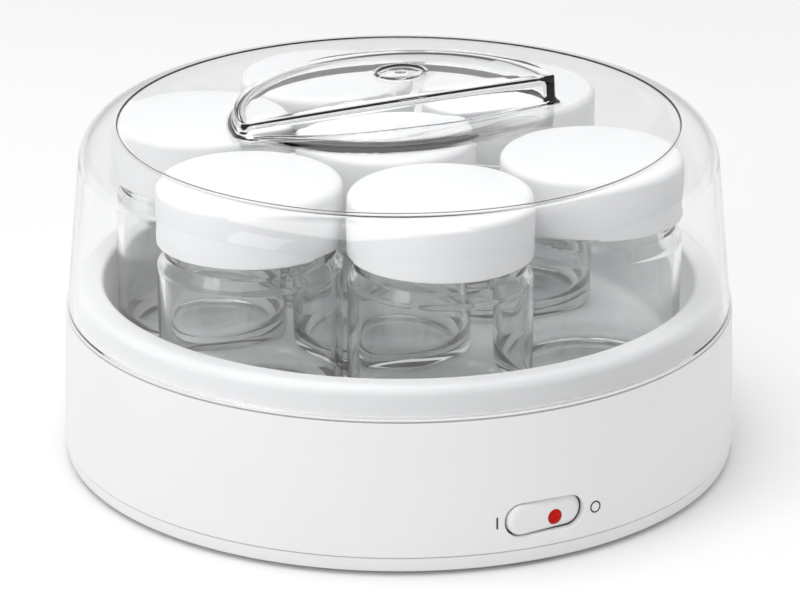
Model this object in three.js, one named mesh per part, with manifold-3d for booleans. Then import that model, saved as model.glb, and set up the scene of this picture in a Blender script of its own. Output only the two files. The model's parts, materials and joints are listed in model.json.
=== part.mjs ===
// Seven-jar yogurt maker. Millimetres, +Z up, front towards -Y.
// The origin is on the table, under the middle of the round base.
import * as THREE from 'three';
import { mergeVertices } from 'three/addons/utils/BufferGeometryUtils.js';
import Module from 'manifold-3d';

const wasm = await Module();
wasm.setup();

// ---- driving dimensions ----
const RING = 48; // facets round the housing, base plate and cover
const ROUND = 20; // facets round a jar or a lid
const SMALL = 12; // facets round screws, posts and pins
const GAP = 0.3; // clearance between pieces that touch
const UNDER = 1.5; // height of the base plate's underside, on its rubber feet

const PLATE = { radius: 118.9, topRadius: 119.7, height: 5.2, thickness: 2.2 };
const HOUSING = { radius: 120, ledgeRadius: 118.3, wall: 2.6 };
HOUSING.bottom = UNDER + PLATE.height + GAP;
HOUSING.ledge = UNDER + 54.1;
const COLLAR = { radius: 114.3, mouth: 104.5, fillet: 3.6, top: UNDER + 64.5 };
const WELL = { radius: 104.2, floor: UNDER + 33, wall: 2.5 };

const COVER = { wall: 2.2, rimRadius: 117.6, sideRadius: 112.5, fillet: 13.8, edgeSlope: 0.03 };
COVER.bottom = HOUSING.ledge + GAP;
COVER.sideTop = UNDER + 107.1;
COVER.crown = UNDER + 121;
const GRIP = { radius: 58.6, turn: 0.348, forward: 2, rise: 6.9, lean: 0.045 };
const POCKET = { depthForward: 35, floor: UNDER + 117.4 };

const LID = { radius: 31.6, height: 20, wall: 1.5, fillet: 3, top: UNDER + 114 };
const JAR = { radius: 31.5, wall: 2.3, neck: 29.2, neckBelowLid: 4.5, bottom: WELL.floor + GAP };
// Where each loose jar stands in the well, [x, y]; the fifth is the middle one.
const JAR_PLACES = [[-70, 17], [-50.5, -51], [14, -64], [66.5, -23.5], [-4.5, -0.5], [-26.5, 67], [39.5, 52]];

const SCREW = { ring: 92, post: 4, pilot: 1.7, shaft: 1.4, length: 16, head: 3.3, headHeight: 1.9, boss: 6 };
SCREW.meet = UNDER + 9; // where a base plate boss meets its housing post
SCREW.seat = UNDER + 5.5; // top of the counterbore the head sits in
const FOOT = { ring: 103, radius: 7, sunk: 0.8 };

const SWITCH = { turn: THREE.MathUtils.degToRad(24.2), height: UNDER + 16, depth: 4.6, tilt: THREE.MathUtils.degToRad(7) };
SWITCH.pivot = HOUSING.radius - 0.4 - SWITCH.depth; // distance of the rocker's pivot from the axis
const WINDOW = { halfLength: 14.75, halfHeight: 5.9 };
const ROCKER = { halfLength: 14.1, halfHeight: 5.5, front: 4, back: 3, trunnion: 1.2, trunnionReach: 7.2 };
const LENS = { radius: 2.6, across: 3.6, drop: 1.3, proud: 0.4, depth: 2.7 };
const BODY = { halfWidth: 11, halfHeight: 7.9, front: 6.5, back: 22, ear: 2.2, earHalfWidth: 4 };

const HEATER = { plateRadius: 80, plate: 1.2, ring: 55, cord: 2.2, gapAngle: 0.21, facing: -1.13 };
HEATER.plateTop = WELL.floor - WELL.wall - GAP;
HEATER.plateBottom = HEATER.plateTop - HEATER.plate;
HEATER.cordHeight = HEATER.plateBottom - GAP - HEATER.cord;
const FUSE = { radius: 2, halfLength: 9, x: -5, y: -36 };
FUSE.height = HEATER.plateBottom - GAP - FUSE.radius;
const BLOCK = { x: 24, y: 14, height: 12, distance: 86 };
BLOCK.bottom = UNDER + PLATE.thickness + GAP;
const GLAND = { height: UNDER + 13, bore: 3.7, body: 5.2, flange: 7, flangeThickness: 2, pocketDepth: 3.6 };
GLAND.pocketFace = HOUSING.radius - GLAND.pocketDepth;

// ---- solids ----
// Keeps position only, merges shared vertices, drops slivers and turns the faces outward.
function closed(geometry) {
  const bare = new THREE.BufferGeometry();
  bare.setAttribute('position', geometry.attributes.position.clone());
  if (geometry.index) bare.setIndex(geometry.index.clone());
  const merged = mergeVertices(bare, 1e-4);
  const index = merged.index.array;
  const at = (i) => new THREE.Vector3().fromBufferAttribute(merged.attributes.position, i);
  const kept = [];
  let volume = 0;
  for (let i = 0; i < index.length; i += 3) {
    const [a, b, c] = index.slice(i, i + 3);
    if (a === b || b === c || a === c) continue;
    kept.push(a, b, c);
    volume += at(a).dot(at(b).cross(at(c)));
  }
  if (volume < 0) kept.reverse();
  merged.setIndex(kept);
  return merged;
}

function toSolid(geometry) {
  const mesh = closed(geometry);
  return new wasm.Manifold(new wasm.Mesh({
    numProp: 3,
    vertProperties: new Float32Array(mesh.attributes.position.array),
    triVerts: new Uint32Array(mesh.index.array),
  }));
}

function toGeometry(solid) {
  const mesh = solid.getMesh();
  const geometry = new THREE.BufferGeometry();
  geometry.setAttribute('position', new THREE.BufferAttribute(mesh.vertProperties, 3));
  geometry.setIndex(new THREE.BufferAttribute(mesh.triVerts, 1));
  return geometry;
}

// A solid of revolution from [radius, height] pairs.
function turned(profile, facets) {
  const points = profile.map(([r, z]) => new THREE.Vector2(r, z));
  return closed(new THREE.LatheGeometry(points, facets).rotateX(Math.PI / 2));
}

function upright(radius, bottom, top, facets = SMALL) {
  const cylinder = new THREE.CylinderGeometry(radius, radius, top - bottom, facets).rotateX(Math.PI / 2);
  return cylinder.translate(0, 0, (bottom + top) / 2);
}

// A cylinder along Y, from one y to another.
function lying(radius, from, to, facets = SMALL) {
  const cylinder = new THREE.CylinderGeometry(radius, radius, to - from, facets);
  return cylinder.translate(0, (from + to) / 2, 0);
}

function block(x0, x1, y0, y1, z0, z1) {
  const box = new THREE.BoxGeometry(x1 - x0, y1 - y0, z1 - z0);
  return box.translate((x0 + x1) / 2, (y0 + y1) / 2, (z0 + z1) / 2);
}

function prism(shape, bottom, top, curveSegments = 24) {
  const settings = { depth: top - bottom, bevelEnabled: false, curveSegments };
  return new THREE.ExtrudeGeometry(shape, settings).translate(0, 0, bottom);
}

// An upright pill outline, extruded along Y from one y to another.
function pill(halfLength, halfHeight, from, to) {
  const straight = halfLength - halfHeight;
  const shape = new THREE.Shape();
  shape.absarc(straight, 0, halfHeight, -Math.PI / 2, Math.PI / 2);
  shape.absarc(-straight, 0, halfHeight, Math.PI / 2, Math.PI * 1.5);
  return prism(shape, from, to, 6).rotateX(Math.PI / 2).translate(0, from + to, 0);
}

function tube(points, radius, steps) {
  const section = new THREE.Shape();
  section.absarc(0, 0, radius, 0, Math.PI * 2);
  const path = new THREE.CatmullRomCurve3(points.map((p) => new THREE.Vector3(...p)));
  return new THREE.ExtrudeGeometry(section, { extrudePath: path, steps, curveSegments: 4 });
}

function arc(r, z, radius, start, end, pieces) {
  return Array.from({ length: pieces + 1 }, (_, i) => {
    const angle = start + ((end - start) * i) / pieces;
    return [r + radius * Math.cos(angle), z + radius * Math.sin(angle)];
  });
}

// ---- scene graph ----
const group = new THREE.Group();

function paint(color, roughness, metalness = 0, opacity = 1) {
  return new THREE.MeshStandardMaterial({ color, roughness, metalness, opacity, transparent: opacity < 1 });
}

const white = paint(0xeeeff0, 0.35);
const lidWhite = paint(0xf6f7f8, 0.4);
const clearPlastic = paint(0xf2f5f6, 0.05, 0, 0.3);
const glass = paint(0xe6ecec, 0.03, 0, 0.4);
const rubber = paint(0x4a4b4d, 0.9);
const steel = paint(0xb9bcc0, 0.35, 1);
const aluminium = paint(0xc8cbce, 0.4, 1);
const silicone = paint(0xb8462f, 0.7);
const ceramic = paint(0xe5dfcf, 0.6);
const black = paint(0x1f2022, 0.5);
const red = paint(0xd8130e, 0.15);
const brass = paint(0xc9a45a, 0.35, 1);
const leadBlue = paint(0x2f5fae, 0.6);
const leadBrown = paint(0x6b4128, 0.6);

function part(name, geometry, material, parent = group) {
  const mesh = new THREE.Mesh(geometry, material);
  mesh.name = name;
  parent.add(mesh);
  return mesh;
}

function quarterTurns(ring, offset = Math.PI / 4) {
  return [0, 1, 2, 3].map((k) => {
    const angle = offset + (k * Math.PI) / 2;
    return [ring * Math.cos(angle), ring * Math.sin(angle)];
  });
}

const postPlaces = quarterTurns(SCREW.ring);
const footPlaces = quarterTurns(FOOT.ring, Math.PI / 8);

// ---- base: housing, base plate, screws and feet ----
function housingProfile() {
  const { radius, mouth, fillet, top } = COLLAR;
  const { bottom, ledge, ledgeRadius, wall } = HOUSING;
  const floor = WELL.floor;
  return [
    [0, floor],
    [WELL.radius - 2.5, floor],
    [WELL.radius - 0.6, floor + 0.8],
    [WELL.radius, floor + 2.5],
    [mouth, top - 1.8],
    [mouth + 0.6, top - 0.5],
    [mouth + 1.8, top],
    ...arc(radius - fillet, top - fillet, fillet, Math.PI / 2, 0, 3),
    [radius, ledge],
    [ledgeRadius - 0.7, ledge],
    [ledgeRadius, ledge - 0.7],
    [HOUSING.radius, bottom],
    [HOUSING.radius - wall, bottom],
    [ledgeRadius - wall, ledge - wall],
    [radius - wall, ledge - wall],
    [radius - wall, top - fillet],
    [radius - fillet - 0.6, top - wall],
    [WELL.radius + WELL.wall + 0.4, top - wall],
    [WELL.radius + WELL.wall, floor],
    [WELL.radius - 1, floor - WELL.wall],
    [0, floor - WELL.wall],
  ];
}

function makeHousing() {
  let housing = toSolid(turned(housingProfile(), RING));
  for (const [x, y] of postPlaces) {
    const post = upright(SCREW.post, SCREW.meet + GAP, WELL.floor - 1).translate(x, y, 0);
    const pilot = upright(SCREW.pilot, SCREW.meet - 1, SCREW.meet + SCREW.length).translate(x, y, 0);
    housing = housing.add(toSolid(post)).subtract(toSolid(pilot));
  }
  const window = pill(WINDOW.halfLength, WINDOW.halfHeight, -HOUSING.radius - 5, -HOUSING.radius + 8);
  housing = housing.subtract(toSolid(window.translate(0, 0, SWITCH.height).rotateZ(SWITCH.turn)));
  // The cord inlet: a thickened patch of the back wall with a flat pocket and the gland's hole.
  const { height, pocketFace, flange, body } = GLAND;
  const half = flange + 3;
  const patch = block(-half - 2, half + 2, pocketFace - 3, HOUSING.radius - 2, HOUSING.bottom, height + half);
  const pocket = block(-half, half, pocketFace, HOUSING.radius + 2, HOUSING.bottom - 1, height + half - 2);
  const hole = lying(body + GAP, pocketFace - 6, HOUSING.radius, ROUND).translate(0, 0, height);
  return toGeometry(housing.add(toSolid(patch)).subtract(toSolid(pocket)).subtract(toSolid(hole)));
}

function makeBasePlate() {
  const top = UNDER + PLATE.height;
  let plate = toSolid(turned([
    [0, UNDER],
    [PLATE.radius - 0.8, UNDER],
    [PLATE.radius, UNDER + 0.8],
    [PLATE.topRadius, top],
    [PLATE.topRadius - 2.4, top],
    [PLATE.topRadius - 3, UNDER + PLATE.thickness],
    [0, UNDER + PLATE.thickness],
  ], RING));
  for (const [x, y] of postPlaces) {
    const boss = upright(SCREW.boss, UNDER + 1, SCREW.meet).translate(x, y, 0);
    const counterbore = upright(SCREW.head + 0.7, UNDER - 1, SCREW.seat).translate(x, y, 0);
    const hole = upright(SCREW.pilot + 0.2, UNDER, SCREW.meet + 1).translate(x, y, 0);
    plate = plate.add(toSolid(boss)).subtract(toSolid(counterbore)).subtract(toSolid(hole));
  }
  for (const [x, y] of footPlaces) {
    const seat = upright(FOOT.radius + GAP, UNDER - 1, UNDER + FOOT.sunk, ROUND).translate(x, y, 0);
    plate = plate.subtract(toSolid(seat));
  }
  return toGeometry(plate);
}

part('housing', makeHousing(), white);
part('base_plate', makeBasePlate(), white);

const screwShape = turned([
  [0, SCREW.seat - GAP - SCREW.headHeight],
  [SCREW.head, SCREW.seat - GAP - SCREW.headHeight],
  [SCREW.head, SCREW.seat - GAP],
  [SCREW.shaft, SCREW.seat - GAP],
  [SCREW.shaft, SCREW.seat + SCREW.length - 2],
  [0, SCREW.seat + SCREW.length],
], SMALL);
postPlaces.forEach(([x, y], k) => {
  part(`base_screw_${k + 1}`, screwShape, steel).position.set(x, y, 0);
});

const footShape = turned([
  [0, 0],
  [FOOT.radius - 0.8, 0],
  [FOOT.radius, 0.8],
  [FOOT.radius, UNDER + FOOT.sunk - GAP],
  [0, UNDER + FOOT.sunk - GAP],
], ROUND);
footPlaces.forEach(([x, y], k) => {
  part(`foot_${k + 1}`, footShape, rubber).position.set(x, y, 0);
});

// ---- heating ----
part('heat_plate', upright(HEATER.plateRadius, HEATER.plateBottom, HEATER.plateTop, RING), aluminium);

const ringStart = HEATER.facing + HEATER.gapAngle;
const ringTurn = Math.PI * 2 - 2 * HEATER.gapAngle;
const onRing = (share) => {
  const angle = ringStart + ringTurn * share;
  return [HEATER.ring * Math.cos(angle), HEATER.ring * Math.sin(angle), HEATER.cordHeight];
};
const ringPoints = Array.from({ length: 25 }, (_, i) => onRing(i / 24));
part('heating_element', tube(ringPoints, HEATER.cord, 40), silicone);

const fuse = new THREE.Group();
fuse.position.set(FUSE.x, FUSE.y, FUSE.height);
group.add(fuse);
const fuseShape = new THREE.CylinderGeometry(FUSE.radius, FUSE.radius, 2 * FUSE.halfLength, SMALL);
part('thermal_fuse', fuseShape.rotateZ(Math.PI / 2), ceramic, fuse);

// The clip is an arch of sheet round the fuse, with a foot on each side against the heat plate.
function makeFuseClip() {
  const inner = FUSE.radius + GAP;
  const outer = inner + 0.8;
  const plateFace = FUSE.radius;
  const shape = new THREE.Shape();
  shape.moveTo(outer + 4, plateFace);
  shape.lineTo(outer + 4, plateFace - 0.8);
  shape.lineTo(outer, plateFace - 0.8);
  shape.absarc(0, 0, outer, 0, -Math.PI, true);
  shape.lineTo(-outer, plateFace - 0.8);
  shape.lineTo(-outer - 4, plateFace - 0.8);
  shape.lineTo(-outer - 4, plateFace);
  shape.lineTo(-inner, plateFace);
  shape.absarc(0, 0, inner, -Math.PI, 0, false);
  shape.lineTo(inner, plateFace);
  return prism(shape, -3, 3, 6).rotateX(Math.PI / 2).rotateZ(Math.PI / 2);
}
part('fuse_clip', makeFuseClip(), steel, fuse);

// ---- mains side: gland, terminal block and leads ----
const glandShape = turned([
  [GLAND.bore, -6],
  [GLAND.body, -6],
  [GLAND.body, GAP],
  [GLAND.flange, GAP],
  [GLAND.flange - 0.5, GAP + GLAND.flangeThickness],
  [GLAND.bore + 0.4, GLAND.pocketDepth - 0.6],
  [GLAND.bore, GLAND.pocketDepth - 1],
  [GLAND.bore, -6],
], ROUND);
const gland = part('cord_gland', glandShape, black);
gland.position.set(0, GLAND.pocketFace, GLAND.height);
gland.rotation.x = -Math.PI / 2;

const blockBack = BLOCK.distance + BLOCK.y / 2;
const blockFront = BLOCK.distance - BLOCK.y / 2;
const blockShape = block(-BLOCK.x / 2, BLOCK.x / 2, blockFront, blockBack, BLOCK.bottom, BLOCK.bottom + BLOCK.height);
part('terminal_block', blockShape, ceramic);

// ---- switch: built facing -Y about its pivot, then swung round to its place ----
const switchPlace = new THREE.Group();
switchPlace.rotation.z = SWITCH.turn;
group.add(switchPlace);
const switchGroup = new THREE.Group();
switchGroup.position.set(0, -SWITCH.pivot, SWITCH.height);
switchPlace.add(switchGroup);

function makeRocker() {
  const { halfLength, halfHeight, front, back, trunnion, trunnionReach } = ROCKER;
  const cap = toSolid(pill(halfLength, halfHeight, -front, back));
  const pin = toSolid(upright(trunnion, -trunnionReach, trunnionReach));
  const seat = lying(LENS.radius + GAP, -front - 1, -front + LENS.depth).translate(LENS.across, 0, -LENS.drop);
  return toGeometry(cap.add(pin).subtract(toSolid(seat)));
}

function makeSwitchBody() {
  const { halfWidth, halfHeight, front, back, ear, earHalfWidth } = BODY;
  let body = toSolid(block(-halfWidth, halfWidth, front, back, -halfHeight, halfHeight));
  for (const side of [-1, 1]) {
    const [low, high] = [side * halfHeight, side * (halfHeight - ear)].sort((a, b) => a - b);
    body = body.add(toSolid(block(-earHalfWidth, earHalfWidth, -ROCKER.trunnion, front + 1, low, high)));
  }
  const pivotHole = upright(ROCKER.trunnion + GAP, -halfHeight - 1, halfHeight + 1);
  return toGeometry(body.subtract(toSolid(pivotHole)));
}

const rockerGroup = new THREE.Group();
rockerGroup.rotation.z = SWITCH.tilt;
switchGroup.add(rockerGroup);
part('switch_rocker', makeRocker(), white, rockerGroup);
const lensShape = lying(LENS.radius, -ROCKER.front - LENS.proud, -ROCKER.front + LENS.depth - GAP);
part('indicator_lens', lensShape, red, rockerGroup).position.set(LENS.across, 0, -LENS.drop);
part('switch_body', makeSwitchBody(), black, switchGroup);
const bladeBack = BODY.back + GAP + 8;
[-7, 0, 7].forEach((x, k) => {
  const blade = block(x - 0.4, x + 0.4, BODY.back + GAP, bladeBack, -3.2, 3.2);
  part(`switch_terminal_${k + 1}`, blade, brass, switchGroup);
});

// ---- leads ----
function bladeEnd(x) {
  return new THREE.Vector3(x, bladeBack + 1.4 - SWITCH.pivot, SWITCH.height)
    .applyAxisAngle(new THREE.Vector3(0, 0, 1), SWITCH.turn).toArray();
}
const LEAD = { radius: 1.1, low: BLOCK.bottom + 3, blockHeight: BLOCK.bottom + BLOCK.height / 2 };
const leadAtBlock = (x) => [x, blockFront - 1.6, LEAD.blockHeight];
const nextToRing = (share, along) => {
  const angle = ringStart + ringTurn * share + along / HEATER.ring;
  return [HEATER.ring * Math.cos(angle), HEATER.ring * Math.sin(angle), HEATER.cordHeight];
};
const fuseEnd = (side) => [FUSE.x + side * (FUSE.halfLength + 1.3), FUSE.y, FUSE.height];
const leadRoutes = {
  lead_block_to_switch: [leadAtBlock(7), [18, 66, LEAD.low], [62, 30, LEAD.low], [70, -20, LEAD.low],
    [58, -54, LEAD.low + 4], bladeEnd(7)],
  lead_switch_to_element: [bladeEnd(0), [34, -64, SWITCH.height + 3], [32, -53, HEATER.cordHeight - 2], nextToRing(0, -1.2)],
  lead_element_to_fuse: [nextToRing(1, 1.2), [19, -50, HEATER.cordHeight - 2], [14, -40, FUSE.height - 2.6], fuseEnd(1)],
  lead_fuse_to_block: [fuseEnd(-1), [-26, -32, FUSE.height - 7.6], [-44, 8, LEAD.low + 2], [-22, 62, LEAD.low], leadAtBlock(-7)],
};
for (const [name, route] of Object.entries(leadRoutes)) {
  part(name, tube(route, LEAD.radius, 18), name.endsWith('switch') ? leadBrown : leadBlue);
}

// ---- jars and lids ----
const lidBottom = LID.top - LID.height;
const jarTop = LID.top - LID.wall - 0.3 - GAP;
function jarProfile() {
  const { radius, wall, neck, neckBelowLid, bottom } = JAR;
  const shoulderTop = lidBottom - neckBelowLid;
  return [
    [0, bottom + 0.8],
    [radius - 6, bottom + 0.8],
    [radius - 7, bottom],
    [radius - 3, bottom],
    [radius, bottom + 3.5],
    [radius, shoulderTop - 4],
    [neck, shoulderTop],
    [neck, jarTop - 1],
    [neck - 0.7, jarTop],
    [neck - wall, jarTop],
    [neck - wall, shoulderTop - 0.5],
    [radius - wall, shoulderTop - 4.5],
    [radius - wall, bottom + 7],
    [radius - wall - 3, bottom + 4.2],
    [0, bottom + 4.2],
  ];
}

function lidProfile() {
  const { radius, wall, fillet, top } = LID;
  return [
    [0, top],
    ...arc(radius - fillet, top - fillet, fillet, Math.PI / 2, 0, 3),
    [radius, lidBottom],
    [radius - wall, lidBottom],
    [radius - wall, top - fillet],
    [radius - wall - 1, top - wall - 0.3],
    [0, top - wall - 0.3],
  ];
}

const jarShape = turned(jarProfile(), ROUND);
const lidShape = turned(lidProfile(), ROUND);
JAR_PLACES.forEach(([x, y], k) => {
  part(`jar_${k + 1}`, jarShape, glass).position.set(x, y, 0);
  part(`lid_${k + 1}`, lidShape, lidWhite).position.set(x, y, 0);
});

// ---- cover: a shallow shell with a raised half-round grip behind a finger pocket ----
// The dome is part of a sphere that leaves the shoulder's round at the edge slope.
function coverOutline(inset, lift) {
  const lean = Math.atan((COVER.rimRadius - COVER.sideRadius) / (COVER.sideTop - COVER.bottom));
  const centreR = COVER.sideRadius - COVER.fillet * Math.cos(lean);
  const centreZ = COVER.sideTop - COVER.fillet * Math.sin(lean);
  const turnEnd = Math.PI / 2 - COVER.edgeSlope;
  const sphere = (centreR + COVER.fillet * Math.cos(turnEnd)) / Math.sin(COVER.edgeSlope);
  const sphereZ = centreZ + COVER.fillet * Math.sin(turnEnd) - sphere * Math.cos(COVER.edgeSlope);
  return [
    [0, COVER.bottom - lift],
    [COVER.rimRadius - inset + lift * Math.tan(lean), COVER.bottom - lift],
    ...arc(centreR, centreZ, COVER.fillet - inset, lean, turnEnd, 5),
    ...arc(0, sphereZ, sphere - inset, turnEnd, Math.PI / 2, 4).slice(1),
  ];
}

// The grip's outline is a half disc behind its straight front edge, at local y = -forward.
function gripPrism(inset, bottom, top) {
  const edge = -GRIP.forward + inset;
  const radius = GRIP.radius - inset;
  const reach = Math.asin(inset / radius);
  const shape = new THREE.Shape();
  shape.absarc(0, -GRIP.forward, radius, reach, Math.PI - reach);
  shape.lineTo(-radius * Math.cos(reach), edge);
  return toSolid(prism(shape, bottom, top, 28));
}

// The pocket's outline is the shallow arc in front of the same edge.
function pocketPrism(inset, bottom) {
  const { depthForward } = POCKET;
  const arcRadius = (GRIP.radius ** 2 + depthForward ** 2) / (2 * depthForward) + inset;
  const centre = -GRIP.forward - depthForward + arcRadius - inset;
  const edge = -GRIP.forward + inset;
  const half = Math.asin((centre - edge) / arcRadius);
  const shape = new THREE.Shape();
  shape.absarc(0, centre, arcRadius, Math.PI + half, 2 * Math.PI - half);
  return toSolid(prism(shape, bottom, COVER.crown + 20, 20));
}

// One face of the shell: inset 0 is the outside, the wall's thickness the inside.
function coverFace(inset, lift) {
  const dome = toSolid(turned(coverOutline(inset, lift), RING));
  const raised = dome.translate([0, 0, -COVER.crown])
    .rotate([0, -THREE.MathUtils.radToDeg(GRIP.lean), 0])
    .translate([0, 0, COVER.crown + GRIP.rise]);
  const grip = gripPrism(inset, COVER.sideTop - 10, COVER.crown + 20).intersect(raised);
  return dome.add(grip.rotate([0, 0, THREE.MathUtils.radToDeg(GRIP.turn)]))
    .subtract(pocketPrism(inset, POCKET.floor - inset).rotate([0, 0, THREE.MathUtils.radToDeg(GRIP.turn)]));
}
part('cover', toGeometry(coverFace(0, 0).subtract(coverFace(COVER.wall, 5))), clearPlastic);

export default group;
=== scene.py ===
# %% [markdown]
# # A seven-jar yogurt maker
# A round white base holds a warm well with seven lidded glass jars, under a clear domed cover. Almost every
# piece is round about one upright axis, so the lesson is mostly about turning an outline into a solid, and
# about making clear plastic and glass read as clear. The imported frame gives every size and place.

# %% Load the frame
import bpy, bmesh, json, math
from mathutils import Matrix, Vector
from mathutils.geometry import delaunay_2d_cdt


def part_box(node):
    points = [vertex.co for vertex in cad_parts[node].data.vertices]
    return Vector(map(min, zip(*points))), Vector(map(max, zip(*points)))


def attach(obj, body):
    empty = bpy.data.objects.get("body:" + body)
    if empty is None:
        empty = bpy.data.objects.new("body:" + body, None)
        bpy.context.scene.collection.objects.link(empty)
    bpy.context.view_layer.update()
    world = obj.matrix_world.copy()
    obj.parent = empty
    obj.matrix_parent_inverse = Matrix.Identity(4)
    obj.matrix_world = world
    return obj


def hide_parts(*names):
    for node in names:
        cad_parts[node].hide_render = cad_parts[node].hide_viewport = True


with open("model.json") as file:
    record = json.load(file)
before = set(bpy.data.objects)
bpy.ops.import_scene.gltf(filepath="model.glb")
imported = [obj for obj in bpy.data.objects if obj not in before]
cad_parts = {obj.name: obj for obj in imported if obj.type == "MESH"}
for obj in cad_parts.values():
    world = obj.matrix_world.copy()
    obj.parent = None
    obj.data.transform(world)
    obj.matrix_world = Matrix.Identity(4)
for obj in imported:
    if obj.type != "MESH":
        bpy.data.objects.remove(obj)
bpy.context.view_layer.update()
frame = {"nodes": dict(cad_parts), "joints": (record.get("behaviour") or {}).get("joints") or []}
MM = 0.001
TAU = 2 * math.pi
GAP = 0.3 * MM  # between pieces that touch


def low(node):
    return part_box(node)[0]


def high(node):
    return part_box(node)[1]


# %% [markdown]
# ## Camera
# A long lens a metre and a half away keeps the circles calm, nearly without perspective. It looks down by
# about twenty-one degrees, so the lids and the grip on the cover show as well as the front wall.

# %% Camera
AIM = Vector((0.4 * MM, 0, low("base_plate").z + 50.2 * MM))
ELEVATION = math.radians(20.85)
DISTANCE = 1.44
camera_data = bpy.data.cameras.new("camera")
camera = bpy.data.objects.new("camera", camera_data)
bpy.context.scene.collection.objects.link(camera)
bpy.context.scene.camera = camera
camera_data.lens = 181.8
camera_data.clip_start = 0.05
back = Vector((0, -math.cos(ELEVATION), math.sin(ELEVATION)))
camera.location = AIM + back * DISTANCE
camera.rotation_mode = "QUATERNION"
camera.rotation_quaternion = (-back).to_track_quat("-Z", "Y")

# %% [markdown]
# ## Materials
# White moulded plastic is never quite even: the skin has a very fine orange peel and its gloss drifts a
# little. Both come from noise on Object coordinates, so they stay with the piece when it moves. Clear
# plastic and glass are real refraction, and a Light Path switch lets lamps shine through them, which a
# refracting wall would otherwise block.

# %% Material helpers


def new_material(name, **values):
    material = bpy.data.materials.new(name)
    material.use_nodes = True
    shader = material.node_tree.nodes["Principled BSDF"]
    for socket, value in values.items():
        shader.inputs[socket.replace("_", " ")].default_value = value
    return material, material.node_tree, shader


def noise(tree, scale, detail=3.0, stretch=(1, 1, 1)):
    coordinates = tree.nodes.new("ShaderNodeTexCoord")
    mapping = tree.nodes.new("ShaderNodeMapping")
    mapping.inputs["Scale"].default_value = stretch
    texture = tree.nodes.new("ShaderNodeTexNoise")
    texture.inputs["Scale"].default_value = scale
    texture.inputs["Detail"].default_value = detail
    tree.links.new(coordinates.outputs["Object"], mapping.inputs["Vector"])
    tree.links.new(mapping.outputs["Vector"], texture.inputs["Vector"])
    return texture.outputs["Fac"]


def spread(tree, source, low_value, high_value):
    ramp = tree.nodes.new("ShaderNodeMapRange")
    ramp.inputs["To Min"].default_value = low_value
    ramp.inputs["To Max"].default_value = high_value
    tree.links.new(source, ramp.inputs["Value"])
    return ramp.outputs["Result"]


def tint(tree, source, first, second):
    ramp = tree.nodes.new("ShaderNodeValToRGB")
    ramp.color_ramp.elements[0].position = 0.3
    ramp.color_ramp.elements[1].position = 0.7
    ramp.color_ramp.elements[0].color = (*first, 1)
    ramp.color_ramp.elements[1].color = (*second, 1)
    tree.links.new(source, ramp.inputs["Fac"])
    return ramp.outputs["Color"]


def bump(tree, shader, source, height):
    node = tree.nodes.new("ShaderNodeBump")
    node.inputs["Distance"].default_value = height
    tree.links.new(source, node.inputs["Height"])
    tree.links.new(node.outputs["Normal"], shader.inputs["Normal"])


def moulded(name, pale, deep, rough, grain_scale, grain_height, **values):
    """Opaque moulded plastic or rubber: two close colours, drifting gloss and a fine grain."""
    material, tree, shader = new_material(name, **values)
    drift = noise(tree, 26)
    tree.links.new(tint(tree, drift, deep, pale), shader.inputs["Base Color"])
    tree.links.new(spread(tree, drift, rough - 0.04, rough + 0.04), shader.inputs["Roughness"])
    bump(tree, shader, noise(tree, grain_scale, 2), grain_height)
    return material


def let_lamps_through(tree, shader, colour):
    """Shadow rays pass straight through, so what is inside stays lit."""
    output = tree.nodes["Material Output"]
    path = tree.nodes.new("ShaderNodeLightPath")
    mix = tree.nodes.new("ShaderNodeMixShader")
    open_way = tree.nodes.new("ShaderNodeBsdfTransparent")
    open_way.inputs["Color"].default_value = (*colour, 1)
    tree.links.new(path.outputs["Is Shadow Ray"], mix.inputs["Fac"])
    tree.links.new(shader.outputs["BSDF"], mix.inputs[1])
    tree.links.new(open_way.outputs["BSDF"], mix.inputs[2])
    tree.links.new(mix.outputs["Shader"], output.inputs["Surface"])


def clear(name, colour, ior, shadow, ripple_scale, ripple_height):
    material, tree, shader = new_material(
        name, Base_Color=(*colour, 1), Roughness=0.0, IOR=ior, Transmission_Weight=1.0
    )
    bump(tree, shader, noise(tree, ripple_scale, 1), ripple_height)
    let_lamps_through(tree, shader, shadow)
    return material


# %% Materials
white_plastic = moulded("white_plastic", (0.80, 0.803, 0.81), (0.785, 0.788, 0.795), 0.34, 2600, 0.00001)
lid_plastic = moulded("lid_plastic", (0.82, 0.824, 0.834), (0.81, 0.814, 0.824), 0.38, 3200, 0.00001)
clear_plastic = clear("clear_plastic", (0.992, 0.995, 0.996), 1.49, (0.975, 0.98, 0.982), 22, 0.00003)
jar_glass = clear("jar_glass", (0.985, 0.99, 0.99), 1.5, (0.96, 0.97, 0.97), 42, 0.00022)
foot_rubber = moulded("foot_rubber", (0.05, 0.05, 0.052), (0.035, 0.035, 0.037), 0.75, 900, 0.00004)
black_plastic = moulded("black_plastic", (0.022, 0.022, 0.024), (0.015, 0.015, 0.016), 0.5, 1500, 0.00003)
ceramic = moulded("ceramic", (0.74, 0.7, 0.6), (0.68, 0.64, 0.55), 0.6, 700, 0.00003)
silicone = moulded("silicone", (0.42, 0.09, 0.05), (0.36, 0.07, 0.04), 0.6, 900, 0.00003)
lead_blue = moulded("lead_blue", (0.03, 0.1, 0.34), (0.025, 0.08, 0.3), 0.45, 900, 0.00002)
lead_brown = moulded("lead_brown", (0.11, 0.045, 0.02), (0.09, 0.035, 0.016), 0.45, 900, 0.00002)
mark_ink = moulded("mark_ink", (0.045, 0.047, 0.05), (0.035, 0.037, 0.04), 0.5, 1800, 0.000005)


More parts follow.
